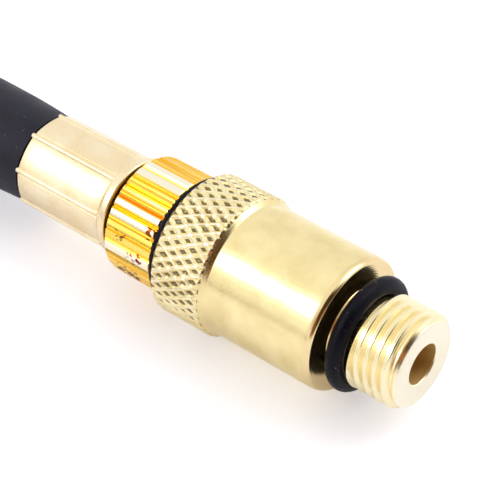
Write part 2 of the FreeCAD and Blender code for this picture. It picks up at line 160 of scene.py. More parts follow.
def black_rubber(name, colour, dust, roughness, grain_mm, shine):
    """Moulded rubber: near black, softly shiny, a fine skin, and pale dust in specks."""
    made, nodes, links, surface = shader(name)
    specks = fine_noise(nodes, links, 0.28, 2.0)
    smears = fine_noise(nodes, links, 2.6, 4.0)
    dusty = ramp(nodes, links, specks, [(0.0, colour), (1.0, dust), (0.715, colour), (0.75, dust)])
    shade = ramp(nodes, links, smears, [(0.35, (1, 1, 1)), (0.7, (2.6, 2.5, 2.5))])
    mixed = nodes.new("ShaderNodeMix")
    mixed.data_type = "RGBA"
    mixed.blend_type = "MULTIPLY"
    mixed.inputs["Factor"].default_value = 0.6
    links.new(dusty, mixed.inputs[6])
    links.new(shade, mixed.inputs[7])
    links.new(mixed.outputs[2], surface.inputs["Base Color"])
    links.new(spread(nodes, links, smears, roughness, roughness + 0.16), surface.inputs["Roughness"])
    skin = fine_noise(nodes, links, grain_mm, 4.0)
    links.new(relief(nodes, links, skin, 0.05, 0.35), surface.inputs["Normal"])
    surface.inputs["Specular IOR Level"].default_value = shine
    return made


hose_line = bpy.data.curves.new("hose_cover_line", "CURVE")
hose_line.dimensions = "3D"
hose_line.bevel_depth = HOSE_DIAMETER / 2 * MM
hose_line.bevel_resolution = 14
hose_line.resolution_u = 24
hose_line.use_fill_caps = True
run = hose_line.splines.new("NURBS")
run.points.add(len(ROUTE) - 1)
for point, place in zip(run.points, ROUTE):
    point.co = (*(Vector(place) * MM), 1)
    point.radius = 1
run.points[1].radius = HOSE_SWOLLEN
run.points[0].radius = HOSE_NECKED
run.points[-1].radius = HOSE_NECKED
run.order_u = 3
run.use_endpoint_u = True
hose = bpy.data.objects.new("pressure_hose", hose_line)
bpy.context.scene.collection.objects.link(hose)
hose_line.materials.append(
    black_rubber("hose_rubber_skin", HOSE_BLACK, HOSE_DUST, roughness=0.45, grain_mm=0.12, shine=0.26)
)
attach(hose, "hose_end")
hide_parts("hose_cover")

# Table and light. A white sheet in a white tent, with one soft lamp at the front left and a
# dark opening at the front right, with a warm edge, through which the work is looked at.
WHITE = (1.0, 1.0, 1.0, 1)
DIM_SIDE = (0.90, 0.90, 0.91, 1)
BACK_LIGHT = (3.0, 3.0, 3.0, 1)
WARM_EDGE = (0.28, 0.13, 0.045, 1)
OPENING = (0.065, 0.038, 0.018, 1)
WARM_THING = (0.60, 0.19, 0.05, 1)
TENT_STRENGTH = 1.05
# Direction, degrees within which the part is full, degrees beyond which it is gone, colour.
TENT_PARTS = [
    ((-0.49, 0.64, 0.58), 14, 42, DIM_SIDE),
    ((0.30, 0.55, 0.78), 10, 27, BACK_LIGHT),
    ((0.42, -0.80, 0.40), 20, 34, WARM_EDGE),
    ((0.84, -0.30, 0.42), 28, 44, OPENING),
    ((0.44, -0.44, 0.78), 17, 25, OPENING),
    ((0.87, -0.38, 0.31), 5, 11, WARM_THING),
]
LAMP_AIM = Vector((-0.02, 0, 0))
LAMP_SIDE = (-0.49, -0.66, 0.57)
LAMP_DISTANCE = 0.9
LAMP_SIZE = 0.29
LAMP_POWER = 1.3
TABLE_HALF = 2.5
PAPER_WHITE = (0.86, 0.87, 0.93, 1)
PAPER_GLOW = (1.0, 0.985, 1.0, 1)
GLOW = 0.17
GLOW_SEEN = 0.38
floor_bm = bmesh.new()
bmesh.ops.create_grid(floor_bm, x_segments=1, y_segments=1, size=TABLE_HALF)
bmesh.ops.translate(floor_bm, verts=floor_bm.verts, vec=(0, 0, cad_low.z))
floor_mesh = bpy.data.meshes.new("table")
floor_bm.to_mesh(floor_mesh)
floor_bm.free()
table = bpy.data.objects.new("table", floor_mesh)
bpy.context.scene.collection.objects.link(table)
paper, paper_nodes, paper_links, paper_surface = shader("white_sheet")
paper_surface.inputs["Base Color"].default_value = PAPER_WHITE
paper_surface.inputs["Roughness"].default_value = 0.7
paper_surface.inputs["Emission Color"].default_value = PAPER_GLOW
glow = paper_nodes.new("ShaderNodeMapRange")
glow.inputs["To Min"].default_value = GLOW
glow.inputs["To Max"].default_value = GLOW_SEEN
paper_links.new(paper_nodes.new("ShaderNodeLightPath").outputs["Is Camera Ray"], glow.inputs["Value"])
paper_links.new(glow.outputs["Result"], paper_surface.inputs["Emission Strength"])
table.data.materials.append(paper)

world = bpy.data.worlds.new("white_tent")
world.use_nodes = True
bpy.context.scene.world = world
sky = world.node_tree.nodes
sky_links = world.node_tree.links
sky_background = sky["Background"]
heading = sky.new("ShaderNodeTexCoord")


def patch(direction, near, far):
    """A value that is 1 up to near degrees from a direction, and 0 beyond far degrees."""
    dot = sky.new("ShaderNodeVectorMath")
    dot.operation = "DOT_PRODUCT"
    dot.inputs[1].default_value = Vector(direction).normalized()
    sky_links.new(heading.outputs["Generated"], dot.inputs[0])
    made = sky.new("ShaderNodeMapRange")
    made.interpolation_type = "SMOOTHSTEP"
    made.inputs["From Min"].default_value = math.cos(math.radians(far))
    made.inputs["From Max"].default_value = math.cos(math.radians(near))
    sky_links.new(dot.outputs["Value"], made.inputs["Value"])
    return made.outputs["Result"]


def sky_mix(share, first, colour):
    """Lays a share of a colour over the first one, which may be a socket."""
    made = sky.new("ShaderNodeMix")
    made.data_type = "RGBA"
    sky_links.new(share, made.inputs[0])
    if isinstance(first, tuple):
        made.inputs[6].default_value = first
    else:
        sky_links.new(first, made.inputs[6])
    made.inputs[7].default_value = colour
    return made.outputs[2]


tent = WHITE
for direction, near, far, colour in TENT_PARTS:
    tent = sky_mix(patch(direction, near, far), tent, colour)
tent = sky_mix(sky.new("ShaderNodeLightPath").outputs["Is Camera Ray"], tent, WHITE)
sky_links.new(tent, sky_background.inputs["Color"])
sky_background.inputs["Strength"].default_value = TENT_STRENGTH

lamp = bpy.data.lights.new("left_lamp", "AREA")
lamp.shape = "SQUARE"
lamp.size = LAMP_SIZE
lamp.energy = LAMP_POWER
soft_box = bpy.data.objects.new("left_lamp", lamp)
away = Vector(LAMP_SIDE).normalized()
soft_box.location = LAMP_AIM + away * LAMP_DISTANCE
soft_box.rotation_euler = (-away).to_track_quat("-Z", "Y").to_euler()
bpy.context.scene.collection.objects.link(soft_box)
bpy.context.scene.view_settings.view_transform = "Standard"

# Crimped ferrules. Each is a brass cup drawn from sheet and plated pale gold, pressed on the
# hose in an eight-jaw die, so that metal stands up in a narrow ridge between every two jaws.
CRIMP_JAWS = 8
CRIMP_CLOCK = math.radians(25.3)
RIDGE_HALF = math.radians(3.7)
RIDGE_HEIGHT = 0.18
RIDGE_OVERRUN = 0.24
JAW_FLATNESS = 0.28
JAW_SINK = 0.04
RIDGE_FOOT = 0.05
FERRULE_STEPS = 720
SKIRT_START = 43.9
SKIRT_MOUTH = 57.4
NECK_SHADOW = (0.03, 0.02, 0.015)


def wire(bm, outline, closed):
    """Draws an outline of (station, radius) or (station, radius, rounding) in millimetres.

    Stations count backwards along the axis from the thread's end face."""
    corners = [bm.verts.new((tip_x - p[0] * MM, p[1] * MM, 0)) for p in outline]
    pairs = list(zip(corners, corners[1:]))
    if closed:
        pairs.append((corners[-1], corners[0]))
    for a, b in pairs:
        bm.edges.new((a, b))
    roundings = {p[2] for p in outline if len(p) > 2}
    for rounding in sorted(roundings):
        chosen = [v for v, p in zip(corners, outline) if len(p) > 2 and p[2] == rounding]
        bmesh.ops.bevel(
            bm, geom=chosen, offset=rounding * MM, affect="VERTICES", segments=4, profile=0.5, material=-1
        )


def divide(bm, start, end, step):
    """Cuts the straight lines of an outline between two stations into steps of even length."""
    for edge in list(bm.edges):
        stations = sorted((tip_x - v.co.x) / MM for v in edge.verts)
        if stations[0] > start - 1e-4 and stations[1] < end + 1e-4:
            cuts = round(edge.calc_length() / (step * MM)) - 1
            if cuts > 0:
                bmesh.ops.subdivide_edges(bm, edges=[edge], cuts=cuts)


def spin(bm, steps):
    """Turns an outline once round the axis."""
    bmesh.ops.spin(
        bm,
        geom=bm.verts[:] + bm.edges[:],
        cent=(0, 0, 0),
        axis=(1, 0, 0),
        dvec=(0, 0, 0),
        angle=2 * math.pi,
        steps=steps,
        use_merge=True,
        use_normal_flip=False,
        use_duplicate=False,
    )
    bmesh.ops.remove_doubles(bm, verts=bm.verts, dist=1e-7)


def round_axis(v):
    """(station, radius, angle) of a vertex about the axis of the fittings, in millimetres."""
    return (tip_x - v.co.x) / MM, math.hypot(v.co.y, v.co.z) / MM, math.atan2(v.co.z, v.co.y)


def set_radius(v, radius):
    """Moves a vertex straight in or out to a radius in millimetres."""
    scale = radius * MM / math.hypot(v.co.y, v.co.z)
    v.co.y *= scale
    v.co.z *= scale


def piece(bm, name, material, body, nodes, sharp=28, shift=(0, 0, 0)):
    """Turns a mesh's faces outwards, shades it, and puts it in place of its CAD nodes."""
    bmesh.ops.recalc_face_normals(bm, faces=bm.faces)
    bmesh.ops.translate(bm, verts=bm.verts, vec=shift)
    mesh = bpy.data.meshes.new(name)
    bm.to_mesh(mesh)
    bm.free()
    mesh.polygons.foreach_set("use_smooth", [True] * len(mesh.polygons))
    mesh.set_sharp_from_angle(angle=math.radians(sharp))
    mesh.materials.append(material)
    made = bpy.data.objects.new(name, mesh)
    bpy.context.scene.collection.objects.link(made)
    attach(made, body)
    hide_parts(*nodes)
    return made


def brass(name, colour, shade, roughness, grain_mm, grain, pits=0.0, streaks=None, lathe_marks=False):
    """Plated or bare brass. Cloudy tone, fine grain, a scatter of dark pits and lathe marks.

    The tone varies in clouds, or in streaks along the axis when their width is given."""
    made, nodes, links, surface = shader(name)
    if streaks:
        clouds = fine_noise(nodes, links, streaks, 3.0, (0.06, 1, 1))
    else:
        clouds = fine_noise(nodes, links, 3.5, 8.0)
    tone = ramp(nodes, links, clouds, [(0.36, shade), (0.62, colour)])
    if pits:
        spots = fine_noise(nodes, links, 0.32, 1.5)
        clean = (1, 1, 1)
        stain = ramp(nodes, links, spots, [(0.0, clean), (1.0, (0.16, 0.08, 0.03)), (1 - pits, clean)])
        stained = nodes.new("ShaderNodeMix")
        stained.data_type = "RGBA"
        stained.blend_type = "MULTIPLY"
        stained.inputs["Factor"].default_value = 1
        links.new(tone, stained.inputs[6])
        links.new(stain, stained.inputs[7])
        tone = stained.outputs[2]
    links.new(tone, surface.inputs["Base Color"])
    surface.inputs["Metallic"].default_value = 1
    fine = fine_noise(nodes, links, grain_mm, 3.0)
    links.new(spread(nodes, links, fine, roughness * 0.75, roughness * 1.3), surface.inputs["Roughness"])
    normal = relief(nodes, links, fine, 0.02, grain)
    if lathe_marks:
        where = nodes.new("ShaderNodeTexCoord")
        wave = nodes.new("ShaderNodeTexWave")
        wave.wave_type = "RINGS"
        wave.rings_direction = "X"
        wave.inputs["Scale"].default_value = 1100
        wave.inputs["Distortion"].default_value = 1.2
        wave.inputs["Detail"].default_value = 2
        links.new(where.outputs["Object"], wave.inputs["Vector"])
        normal = relief(nodes, links, wave.outputs["Fac"], 0.01, 0.6, normal)
    links.new(normal, surface.inputs["Normal"])
    return made


def zone(material, stations, radii, colour, share, polish=1.0):
    """Changes the metal between two stations and two radii: wear, painted shade and highlights."""
    nodes, links = material.node_tree.nodes, material.node_tree.links
    surface = nodes["Principled BSDF"]
    where = nodes.new("ShaderNodeTexCoord")
    split = nodes.new("ShaderNodeSeparateXYZ")
    links.new(where.outputs["Object"], split.inputs["Vector"])
    off_axis = nodes.new("ShaderNodeVectorMath")
    off_axis.operation = "MULTIPLY"
    off_axis.inputs[1].default_value = (0, 1, 1)
    links.new(where.outputs["Object"], off_axis.inputs[0])
    radius = nodes.new("ShaderNodeVectorMath")
    radius.operation = "LENGTH"
    links.new(off_axis.outputs["Vector"], radius.inputs[0])
    inside = nodes.new("ShaderNodeMath")
    inside.operation = "MULTIPLY"
    limits = (
        (split.outputs["X"], tip_x / MM - stations[1], tip_x / MM - stations[0]),
        (radius.outputs["Value"], *radii),
    )
    for number, (value, low, high) in enumerate(limits):
        within = nodes.new("ShaderNodeMath")
        within.operation = "COMPARE"
        within.inputs[1].default_value = (low + high) / 2 * MM
        within.inputs[2].default_value = (high - low) / 2 * MM
        links.new(value, within.inputs[0])
        links.new(within.outputs["Value"], inside.inputs[number])
    weight = nodes.new("ShaderNodeMath")
    weight.operation = "MULTIPLY"
    weight.inputs[1].default_value = share
    links.new(inside.outputs["Value"], weight.inputs[0])
    mixed = nodes.new("ShaderNodeMix")
    mixed.data_type = "RGBA"
    links.new(weight.outputs["Value"], mixed.inputs["Factor"])
    links.new(surface.inputs["Base Color"].links[0].from_socket, mixed.inputs[6])
    mixed.inputs[7].default_value = (*colour, 1)
    links.new(mixed.outputs[2], surface.inputs["Base Color"])
    smooth = nodes.new("ShaderNodeMath")
    smooth.operation = "MULTIPLY_ADD"
    smooth.inputs[1].default_value = polish - 1
    smooth.inputs[2].default_value = 1
    links.new(inside.outputs["Value"], smooth.inputs[0])
    rough = nodes.new("ShaderNodeMath")
    rough.operation = "MULTIPLY"
    links.new(surface.inputs["Roughness"].links[0].from_socket, rough.inputs[0])
    links.new(smooth.outputs["Value"], rough.inputs[1])
    links.new(rough.outputs["Value"], surface.inputs["Roughness"])


ferrule_brass = brass("ferrule_pale_gold", (0.98, 0.84, 0.57), (0.93, 0.75, 0.46), 0.30, 0.12, 0.3)
zone(ferrule_brass, (42.70, 43.45), (3.0, 6.12), NECK_SHADOW, 1.0, 1.6)


def crimped_ferrule(name, node, shift):
    """Spins the cup, then presses its skirt between the jaws and lets the ridges stand."""
    bm = bmesh.new()
    wire(
        bm,
        [
            (43.35, 3.95),
            (43.35, 5.85, 0.05),
            (42.78, 5.95, 0.10),
            (42.78, 6.46, 0.20),
            (43.78, 6.46, 0.22),
            (44.06, 6.30, 0.08),
            (44.20, 6.16, 0.06),
            (57.65, 6.16, 0.10),
            (57.65, 5.40),
            (43.60, 5.40),
            (43.60, 3.95),
        ],
        closed=True,
    )
    divide(bm, 44.1, 57.8, 1.2)
    spin(bm, FERRULE_STEPS)
    jaw = 2 * math.pi / CRIMP_JAWS
    for v in bm.verts:
        s, r, angle = round_axis(v)
        if r > 5.5 and s > SKIRT_START:
            off = abs(angle - round(angle / jaw) * jaw)
            run_out = min(1.0, (s - SKIRT_START) / 0.5)
            middle = jaw / 2 - off
            pressed = r * (1 + JAW_FLATNESS * (1 / math.cos(middle) - 1)) - JAW_SINK
            if off < RIDGE_HALF:
                bulge = 0.5 + 0.5 * math.cos(math.pi * (off / RIDGE_HALF) ** 1.6)
                pressed += RIDGE_HEIGHT * bulge
                if s > SKIRT_MOUTH:
                    v.co.x -= RIDGE_OVERRUN * min(1.0, 1.8 * bulge) * MM
            elif off < RIDGE_HALF * 1.35:
                pressed -= RIDGE_FOOT
            set_radius(v, r + (pressed - r) * run_out)
    bmesh.ops.rotate(bm, verts=bm.verts, cent=(0, 0, 0), matrix=Matrix.Rotation(CRIMP_CLOCK, 3, "X"))
    return piece(bm, name, ferrule_brass, "hose_end", [node], 24, shift)


rear_shift = (Vector(ROUTE[-1]) - Vector(ROUTE[0])) * MM
crimped_ferrule("crimped_ferrule_front", "front_ferrule", (0, 0, 0))
rear_ferrule = crimped_ferrule("crimped_ferrule_rear", "rear_ferrule", rear_shift)

# Hose end fitting. Turned from brass bar and bright gilt: a nose with a right-hand M14 x 1.25
# thread that the adapter screws on to, a straight-ribbed finger collar and a barbed tail.
COLLAR_FRONT = 34.3
COLLAR_BACK = 41.48
COLLAR_RIBS = 32
RIB_STEPS = 18
RIB_DEPTH = 0.30
# Proud ribs, placed where highlights fall; their pale brass is partly a painted highlight.
RUBBED_AND_HIGHLIT_RIBS = (7, 8, 15)
SCUFFED_AND_HIGHLIT_RIBS = (11, 12)
PROUD_RADIUS = 7.7
GILDED_RADIUS = 7.63
RIB_CLOCK = math.radians(4)
PITCH = 1.25
NOSE_START = 21.9
NOSE_END = 31.2
NOSE_CREST = 0.6
MALE_NOSE = [
    (-0.5, 6.18),
    (-0.39, 6.18),
    (-0.07, 6.93),
    (-0.05, 6.95),
    (0.05, 6.95),
    (0.07, 6.93),
    (0.39, 6.18),
    (0.5, 6.18),
]
BARBS = 3
# Pale brass for the proud ribs: rubbed-off gilding and a painted highlight.
RUBBED_AND_HIGHLIGHT_BRASS = (1.0, 0.95, 0.74)
# Painted shade: a deeper orange for the bottoms of the collar's grooves.
GROOVE_SHADE_GOLD = (1.0, 0.42, 0.02)
# Station, degrees from the top, size in millimetres, threshold, colour.
DEPOSITS = [
    (36.6, 88, 3.6, 0.51, (0.26, 0.02, 0.01)),
    (39.3, 72, 2.6, 0.53, (0.12, 0.03, 0.01)),
    # This one darkens the collar near its lower edge with specks.
    (38.5, 124, 6.0, 0.47, (0.12, 0.03, 0.01)),
    (34.9, 56, 2.6, 0.50, (0.30, 0.07, 0.01)),
]


def screw_thread(bm, start, end, crest_at, outline, steps, limit=None):
    """Winds one pitch of a right-hand thread's outline along the axis and cuts it off square.

    The outline gives (share of the pitch from the crest, radius). The crest crosses the
    level side of the axis at station crest_at."""
    helix = bmesh.new()
    first = crest_at + PITCH * math.ceil((end - crest_at) / PITCH + 1)
    turns = math.ceil((first - start) / PITCH + 1)
    corners = [helix.verts.new((tip_x - (first + p * PITCH) * MM, r * MM, 0)) for p, r in outline]
    for a, b in zip(corners, corners[1:]):
        helix.edges.new((a, b))
    bmesh.ops.spin(
        helix,
        geom=helix.verts[:] + helix.edges[:],
        cent=(0, 0, 0),
        axis=(1, 0, 0),
        dvec=(PITCH * MM / steps, 0, 0),
        angle=2 * math.pi * turns,
        steps=steps * turns,
        use_merge=False,
        use_normal_flip=False,
        use_duplicate=False,
    )
    bmesh.ops.remove_doubles(helix, verts=helix.verts, dist=1e-6)
    for station, outward in ((start, 1), (end, -1)):
        bmesh.ops.bisect_plane(
            helix,
            geom=helix.verts[:] + helix.edges[:] + helix.faces[:],
            dist=1e-7,
            plane_co=(tip_x - station * MM, 0, 0),
            plane_no=(outward, 0, 0),
            clear_outer=True,
            clear_inner=False,
        )
    if limit:
        for v in helix.verts:
            s, r, _ = round_axis(v)
            set_radius(v, min(r, limit(s)))
    part = bpy.data.meshes.new("thread")
    helix.to_mesh(part)
    helix.free()
    bm.from_mesh(part)
    bpy.data.meshes.remove(part)


def join_at(bm, station):
    """Closes the flat ring between the two open rims in one plane across the axis."""
    x = tip_x - station * MM
    rims = [e for e in bm.edges if e.is_boundary and all(abs(v.co.x - x) < 2e-6 for v in e.verts)]
    bmesh.ops.triangle_fill(bm, edges=rims, use_beauty=True, use_dissolve=False)


def ribs(bm):
    """Presses uneven straight grooves into the collar and scores the ribs along their backs.

    A few ribs stand proud, and some of them are scuffed. The pale brass that later goes on
    them is rubbed-off gilding and also a painted highlight."""
    rng = random.Random(5)
    depth = [RIB_DEPTH * rng.uniform(0.75, 1.15) for _ in range(COLLAR_RIBS)]
    lean = [rng.uniform(-0.08, 0.08) for _ in range(COLLAR_RIBS)]
    tilt = [rng.uniform(-0.10, 0.10) for _ in range(COLLAR_RIBS)]
    score = [rng.uniform(0.0, 0.10) for _ in range(COLLAR_RIBS)]
    place = [0.5 + rng.uniform(-0.16, 0.16) for _ in range(COLLAR_RIBS)]
    for v in bm.verts:
        s, r, angle = round_axis(v)
        if COLLAR_FRONT - 0.2 < s < COLLAR_BACK + 0.12 and r > 6.2:
            turn = ((angle - RIB_CLOCK) / (2 * math.pi) % 1) * COLLAR_RIBS
            number = int(round(turn)) % COLLAR_RIBS
            rib = int(turn) % COLLAR_RIBS
            across = turn - int(turn)
            off = abs(turn - round(turn) + lean[number]) * 2
            groove = max(0.0, 1 - off / 0.42) ** 0.8
            scored = max(0.0, 1 - abs(across - place[rib]) / 0.13)
            crown = 0.05 * (off**2)
            fall = tilt[rib] * (across - 0.5)
            back = PROUD_RADIUS if rib in RUBBED_AND_HIGHLIT_RIBS + SCUFFED_AND_HIGHLIT_RIBS else GILDED_RADIUS
            cut = depth[number] * groove
            if rib in SCUFFED_AND_HIGHLIT_RIBS:
                cut += 0.7 * (across - 0.55) ** 2
            elif rib not in RUBBED_AND_HIGHLIT_RIBS:
                cut += score[rib] * scored + crown + fall
            set_radius(v, min(r, back - cut))


fitting_bm = bmesh.new()
wire(
    fitting_bm,
    [
        (NOSE_END, 5.8),
        (COLLAR_FRONT, 5.8, 0.15),
        (COLLAR_FRONT, 7.56, 0.08),
        (34.48, PROUD_RADIUS, 0.08),
        (41.30, PROUD_RADIUS, 0.06),
        (COLLAR_BACK, 7.5, 0.06),
        (COLLAR_BACK, 3.9),
        (43.65, 3.9),
        (43.65, 4.3),
        (44.3, 4.3),
        (44.3, 3.2),
        *[(44.3 + 3.4 * k + s, r) for k in range(BARBS) for s, r in ((1.4, 3.2), (1.4, 3.45), (3.4, 3.2))],
        (55.7, 3.2),
        (56.5, 2.7),
        (56.5, 1.6),
        (43.27, 1.6),
        (42.57, 2.25),
        (29.7, 2.25),
        (28.9, 2.6),
        (22.1, 2.6, 0.05),
        (NOSE_START, 2.8, 0.05),
        (NOSE_START, 6.0),
    ],
    closed=False,
)
divide(fitting_bm, 34.45, 41.4, 0.8)
spin(fitting_bm, COLLAR_RIBS * RIB_STEPS)
ribs(fitting_bm)
screw_thread(
    fitting_bm, NOSE_START, NOSE_END, NOSE_CREST, MALE_NOSE, 96, lambda s: 6.1 + (s - NOSE_START) * 1.1
)
for station in (NOSE_START, NOSE_END):
    join_at(fitting_bm, station)
gilt_brass = brass(
    "gilt_brass", (1.0, 0.74, 0.16), (0.97, 0.50, 0.04), 0.19, 0.2, 0.2, pits=0.26, streaks=0.5
)


def deposit(material, station, angle, size_mm, threshold, colour):
    """Specks of red-brown deposit round one place on the collar, at degrees from its top."""
    nodes, links = material.node_tree.nodes, material.node_tree.links
    surface = nodes["Principled BSDF"]
    turn = math.radians(angle)
    where = nodes.new("ShaderNodeTexCoord")
    apart = nodes.new("ShaderNodeVectorMath")
    apart.operation = "DISTANCE"
    skin = 7.6 * MM
    apart.inputs[1].default_value = (tip_x - station * MM, -math.sin(turn) * skin, math.cos(turn) * skin)
    links.new(where.outputs["Object"], apart.inputs[0])
    near = spread(nodes, links, apart.outputs["Value"], 1.0, 0.0, 0.25 * size_mm * MM, size_mm * MM)
    grains = fine_noise(nodes, links, 0.42, 2.0, (0.6, 1, 1))
    thick = nodes.new("ShaderNodeMath")
    thick.operation = "MULTIPLY"
    links.new(near, thick.inputs[0])
    links.new(grains, thick.inputs[1])
    share = spread(nodes, links, thick.outputs["Value"], 0.0, 1.0, threshold, threshold + 0.05)
    stained = nodes.new("ShaderNodeMix")
    stained.data_type = "RGBA"
    links.new(share, stained.inputs["Factor"])
    links.new(surface.inputs["Base Color"].links[0].from_socket, stained.inputs[6])
    stained.inputs[7].default_value = (*colour, 1)
    links.new(stained.outputs[2], surface.inputs["Base Color"])


# Pale brass on the proud ribs: rubbed-off gilding and a painted highlight.
zone(gilt_brass, (34.0, 42.0), (7.66, 7.8), RUBBED_AND_HIGHLIGHT_BRASS, 0.95)
# Painted shade: deeper orange in the groove bottoms.
zone(gilt_brass, (34.0, 42.0), (7.0, 7.47), GROOVE_SHADE_GOLD, 0.85)
for place in DEPOSITS:
    deposit(gilt_brass, *place)
piece(fitting_bm, "ribbed_hose_fitting", gilt_brass, "hose_end", ["hose_end_fitting"], 30)

# Squeezed ring. A moulded black rubber ring on the root of the nose. It stays with the
# fitting, and is nipped between its collar and the adapter's rear face.
ring_rubber = black_rubber("ring_rubber_skin", (0.003, 0.003, 0.007), (0.25, 0.25, 0.26), 0.34, 0.2, 0.11)


def rubber_ring(name, node, body, centre, radius, half_width, half_height, squareness, steps):
    """A ring whose section is round, or flattened where it is squeezed."""
    bm = bmesh.new()
    section = []
    for k in range(28):
        a = 2 * math.pi * k / 28
        across = math.copysign(abs(math.cos(a)) ** squareness, math.cos(a)) * half_width
        out = math.copysign(abs(math.sin(a)) ** squareness, math.sin(a)) * half_height
        section.append((centre + across, radius + out))
    wire(bm, section, closed=True)
    spin(bm, steps)
    return piece(bm, name, ring_rubber, body, [node], 60)


rubber_ring("squeezed_ring", "fitting_o_ring", "hose_end", 33.62, 7.05, 0.60, 1.05, 0.8, 160)

# Thread adapter. Turned brass: a knurled finger grip, a plain barrel, a shoulder with a ring
# seat, and a short hollow M12 x 1.25 thread. Inside is the M14 socket for the nose.
DIAMONDS = 40
DIAMOND_STEPS = 12
DIAMOND_LENGTH = 2.4
KNURL_DEPTH = 0.36
KNURL_LINE = 0.92
GRIP_RADIUS = 9.14
GRIP_START = 25.50
GRIP_END = 32.99
TIP_END = 6.2
TIP_CREST = 0.70
MALE_TIP = [
    (-0.5, 5.24),
    (-0.40, 5.24),
    (-0.09, 5.96),
    (-0.06, 6.0),
    (0.06, 6.0),
    (0.09, 5.96),
    (0.40, 5.24),
    (0.5, 5.24),
]
SOCKET_START = 22.6
SOCKET_END = 32.74
FEMALE_NOSE = [(-0.5, 6.3), (-0.44, 6.3), (-0.12, 7.05), (0.12, 7.05), (0.44, 6.3), (0.5, 6.3)]
TURNING_RINGS = 12
# Painted highlight on the end face and knurl lines; painted shade on the shoulder and in the pits.
FACE_HIGHLIGHT = (1.0, 0.94, 0.76)
PALER_THREAD = (1.0, 0.90, 0.62)
SHOULDER_SHADE = (0.86, 0.66, 0.35)
PIT_SHADE = (0.07, 0.05, 0.025)
NET_HIGHLIGHT = (1.0, 0.96, 0.78)
BORE_TONE = (0.72, 0.50, 0.18)


def knurl(bm):
    """Rolls rows of diamond-shaped pits into the grip and leaves a net of thin lines."""
    lines = []
    rng = random.Random(11)
    wear = {}
    for v in bm.verts:
        s, r, angle = round_axis(v)
        if r > 8.6 and GRIP_START + 0.02 < s < GRIP_END - 0.02:
            turn = DIAMONDS * angle / (2 * math.pi)
            along = (s - GRIP_START) / DIAMOND_LENGTH
            u = turn + along
            w = turn - along
            du = abs(u - round(u)) * 2
            dw = abs(w - round(w)) * 2
            low = min(du, dw)
            if low < 1e-3:
                lines.append(v)
            key = (math.floor(u), math.floor(w))
            worn = wear.setdefault(key, rng.uniform(0.0, 0.16))
            height = max(0.0, 1 - worn - low / KNURL_LINE)
            fade = min(1.0, 0.45 + (s - GRIP_START) / 1.0, 0.45 + (GRIP_END - s) / 1.0)
            set_radius(v, min(r, GRIP_RADIUS - KNURL_DEPTH * fade * (1 - height)))
    bmesh.ops.connect_verts(bm, verts=lines)


adapter_bm = bmesh.new()
wire(
    adapter_bm,
    [
        (TIP_END, 5.05),
        (9.78, 5.05, 0.15),
        (9.78, 8.06, 0.05),
        (9.92, 8.22, 0.06),
        (10.16, 8.35, 0.06),
        (10.58, 8.43, 0.10),
        (24.98, 8.43, 0.10),
        (GRIP_START, 8.80, 0.04),
        (25.80, GRIP_RADIUS),
        (32.58, GRIP_RADIUS),
        (GRIP_END, 8.60, 0.05),
        (GRIP_END, 7.28, 0.08),
        (SOCKET_END, 7.0),
    ],
    closed=False,
)
divide(adapter_bm, 25.7, 32.7, 0.2)
divide(adapter_bm, 10.7, 24.9, 1.5)
wire(
    adapter_bm,
    [
        (SOCKET_START, 7.1),
        (21.3, 7.1, 0.2),
        (21.3, 2.54, 0.1),
        (0.12, 2.54, 0.05),
        (0.0, 2.64, 0.04),
        *[(0.03 * (k % 2), 2.85 + 0.2 * k) for k in range(TURNING_RINGS)],
        (0.0, 5.15),
    ],
    closed=False,
)
spin(adapter_bm, DIAMONDS * DIAMOND_STEPS)
knurl(adapter_bm)
screw_thread(adapter_bm, 0.0, TIP_END, TIP_CREST, MALE_TIP, 128, lambda s: min(6.0, 5.32 + s * 0.9))
screw_thread(adapter_bm, SOCKET_START, SOCKET_END, NOSE_CREST, FEMALE_NOSE, 96)
for station in (0.0, TIP_END, SOCKET_START, SOCKET_END):
    join_at(adapter_bm, station)
adapter_brass = brass(
    "adapter_satin_brass",
    (0.96, 0.81, 0.43),
    (0.86, 0.70, 0.34),
    roughness=0.24,
    grain_mm=0.08,
    grain=0.35,
    pits=0.285,
    lathe_marks=True,
)
# Painted highlight: the end face is made paler and whiter.
zone(adapter_brass, (-0.1, 0.08), (0.0, 9.0), FACE_HIGHLIGHT, 0.9, 1.3)
# The thread and the neck behind it are made paler.
zone(adapter_brass, (0.08, 9.0), (0.0, 9.0), PALER_THREAD, 0.7, 0.9)
# Painted shade: the shoulder face and its rounding are darker and more orange-brown.
zone(adapter_brass, (9.0, 10.7), (0.0, 9.0), SHOULDER_SHADE, 0.7, 0.5)
# Painted shade on the floors of the knurl's pits.
zone(adapter_brass, (25.6, 32.9), (8.6, 8.90), PIT_SHADE, 0.8, 1.2)
# Painted highlight on the knurl's net of raised lines.
zone(adapter_brass, (25.6, 32.9), (9.06, 9.3), NET_HIGHLIGHT, 0.6, 0.9)
zone(adapter_brass, (0.2, 21.3), (0.0, 2.7), BORE_TONE, 0.9, 3.4)
piece(adapter_bm, "screw_on_adapter", adapter_brass, "adapter", ["thread_adapter"], 26)

# Tip ring. A moulded black rubber ring, pushed over the thread into the seat behind it. It
# seals on the engine.
rubber_ring("tip_ring", "tip_o_ring", "tip_seal", 7.75, 6.13, 1.05, 1.08, 1.0, 200)

